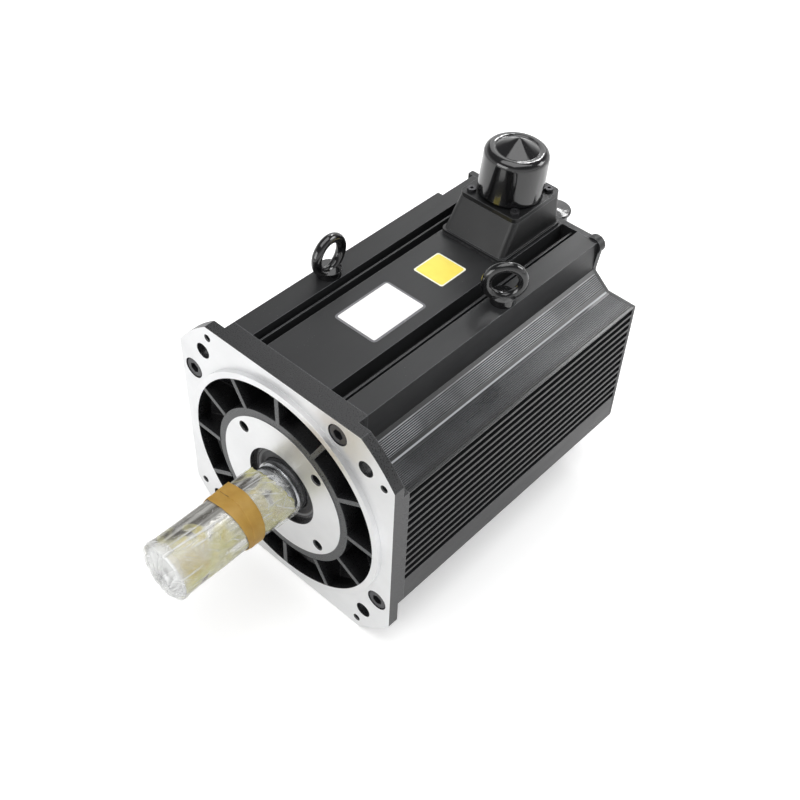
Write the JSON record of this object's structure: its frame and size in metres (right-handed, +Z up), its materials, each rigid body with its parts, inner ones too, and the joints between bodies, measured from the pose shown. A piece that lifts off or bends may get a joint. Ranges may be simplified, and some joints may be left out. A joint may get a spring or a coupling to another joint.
{
  "type": "servo motor",
  "caption": "Flange-mounted servo motor with a keyed shaft in transport wrap, finned housing, lifting eyes, capped power connector box and encoder cover.",
  "frame": {"origin": "centre of the mounting hole circle in the mounting face", "axes": "-Y along the shaft, away from the motor; +Z up through the connectors; +X to the right seen from the shaft side"},
  "size_m": [0.22, 0.453, 0.3011],
  "materials": {
    "machined": "bright machined face, painted sides",
    "ground_steel": "ground",
    "steel": "plain steel",
    "brass": "machined",
    "grey_paint": "satin dark grey paint on aluminium",
    "lamination": "stacked sheet",
    "magnet": "coated magnet",
    "copper": "enamelled copper wire",
    "board": "circuit board",
    "insulator": "moulded",
    "seal_rubber": "matt",
    "black_cap": "high gloss",
    "black_enamel": "glossy black enamel",
    "wrap_film": "clear film over oiled paper",
    "amber_rubber": "flat rubber band"
  },
  "bodies": {
    "stator": {"front_bracket": "machined", "flange_screws": "steel", "shaft_seal": "seal_rubber", "bearing_retainer": "steel", "retainer_screws": "steel", "front_bearing_outer": "steel", "frame": "grey_paint", "side_cooler_right": "grey_paint", "side_cooler_left": "grey_paint", "stator_core": "lamination", "windings": "copper", "rear_bracket": "grey_paint", "rear_screws": "steel", "rear_bearing_outer": "steel", "wave_spring": "steel", "encoder_housing": "machined", "encoder_board": "board", "encoder_cover": "grey_paint", "cover_screws": "steel", "signal_connector": "machined", "signal_insert": "insulator", "signal_pins_set": "brass", "signal_screws": "steel", "power_box": "grey_paint", "box_gasket": "seal_rubber", "box_screws": "steel", "power_receptacle": "grey_paint", "power_insert": "insulator", "power_pins": "brass", "receptacle_screws": "steel", "eye_bolt_left": "black_enamel", "eye_bolt_right": "black_enamel"},
    "rotor": {"shaft": "ground_steel", "key": "steel", "rotor_core": "lamination", "magnets": "magnet", "front_bearing_inner": "steel", "rear_bearing_inner": "steel", "front_circlip": "steel", "rear_circlip": "steel", "encoder_disc": "steel", "shaft_wrap": "wrap_film", "rubber_band": "amber_rubber"},
    "front_cage": {"front_bearing_balls": "steel", "front_bearing_cage": "brass"},
    "rear_cage": {"rear_bearing_balls": "steel", "rear_bearing_cage": "brass"},
    "power_cap": {"power_cap": "black_cap"},
    "signal_cap": {"signal_cap": "black_cap"}
  },
  "joints": [
    {"name": "shaft_spin", "type": "hinge", "parent": "stator", "child": "rotor", "pos_m": [0, 0, 0], "axis": [0, -1, 0], "continuous": true},
    {"name": "front_cage_spin", "type": "hinge", "parent": "stator", "child": "front_cage", "pos_m": [0, 0, 0], "axis": [0, -1, 0], "continuous": true},
    {"name": "rear_cage_spin", "type": "hinge", "parent": "stator", "child": "rear_cage", "pos_m": [0, 0, 0], "axis": [0, -1, 0], "continuous": true},
    {"name": "power_cap_lift", "type": "slide", "parent": "stator", "child": "power_cap", "axis": [0, 0, 1], "range_m": [0, 0.045]},
    {"name": "signal_cap_lift", "type": "slide", "parent": "stator", "child": "signal_cap", "axis": [0, 0, 1], "range_m": [0, 0.03]}
  ],
  "couplings": [
    {"joint": "front_cage_spin", "follows": "shaft_spin", "ratio": 0.3793},
    {"joint": "rear_cage_spin", "follows": "shaft_spin", "ratio": 0.4}
  ]
}
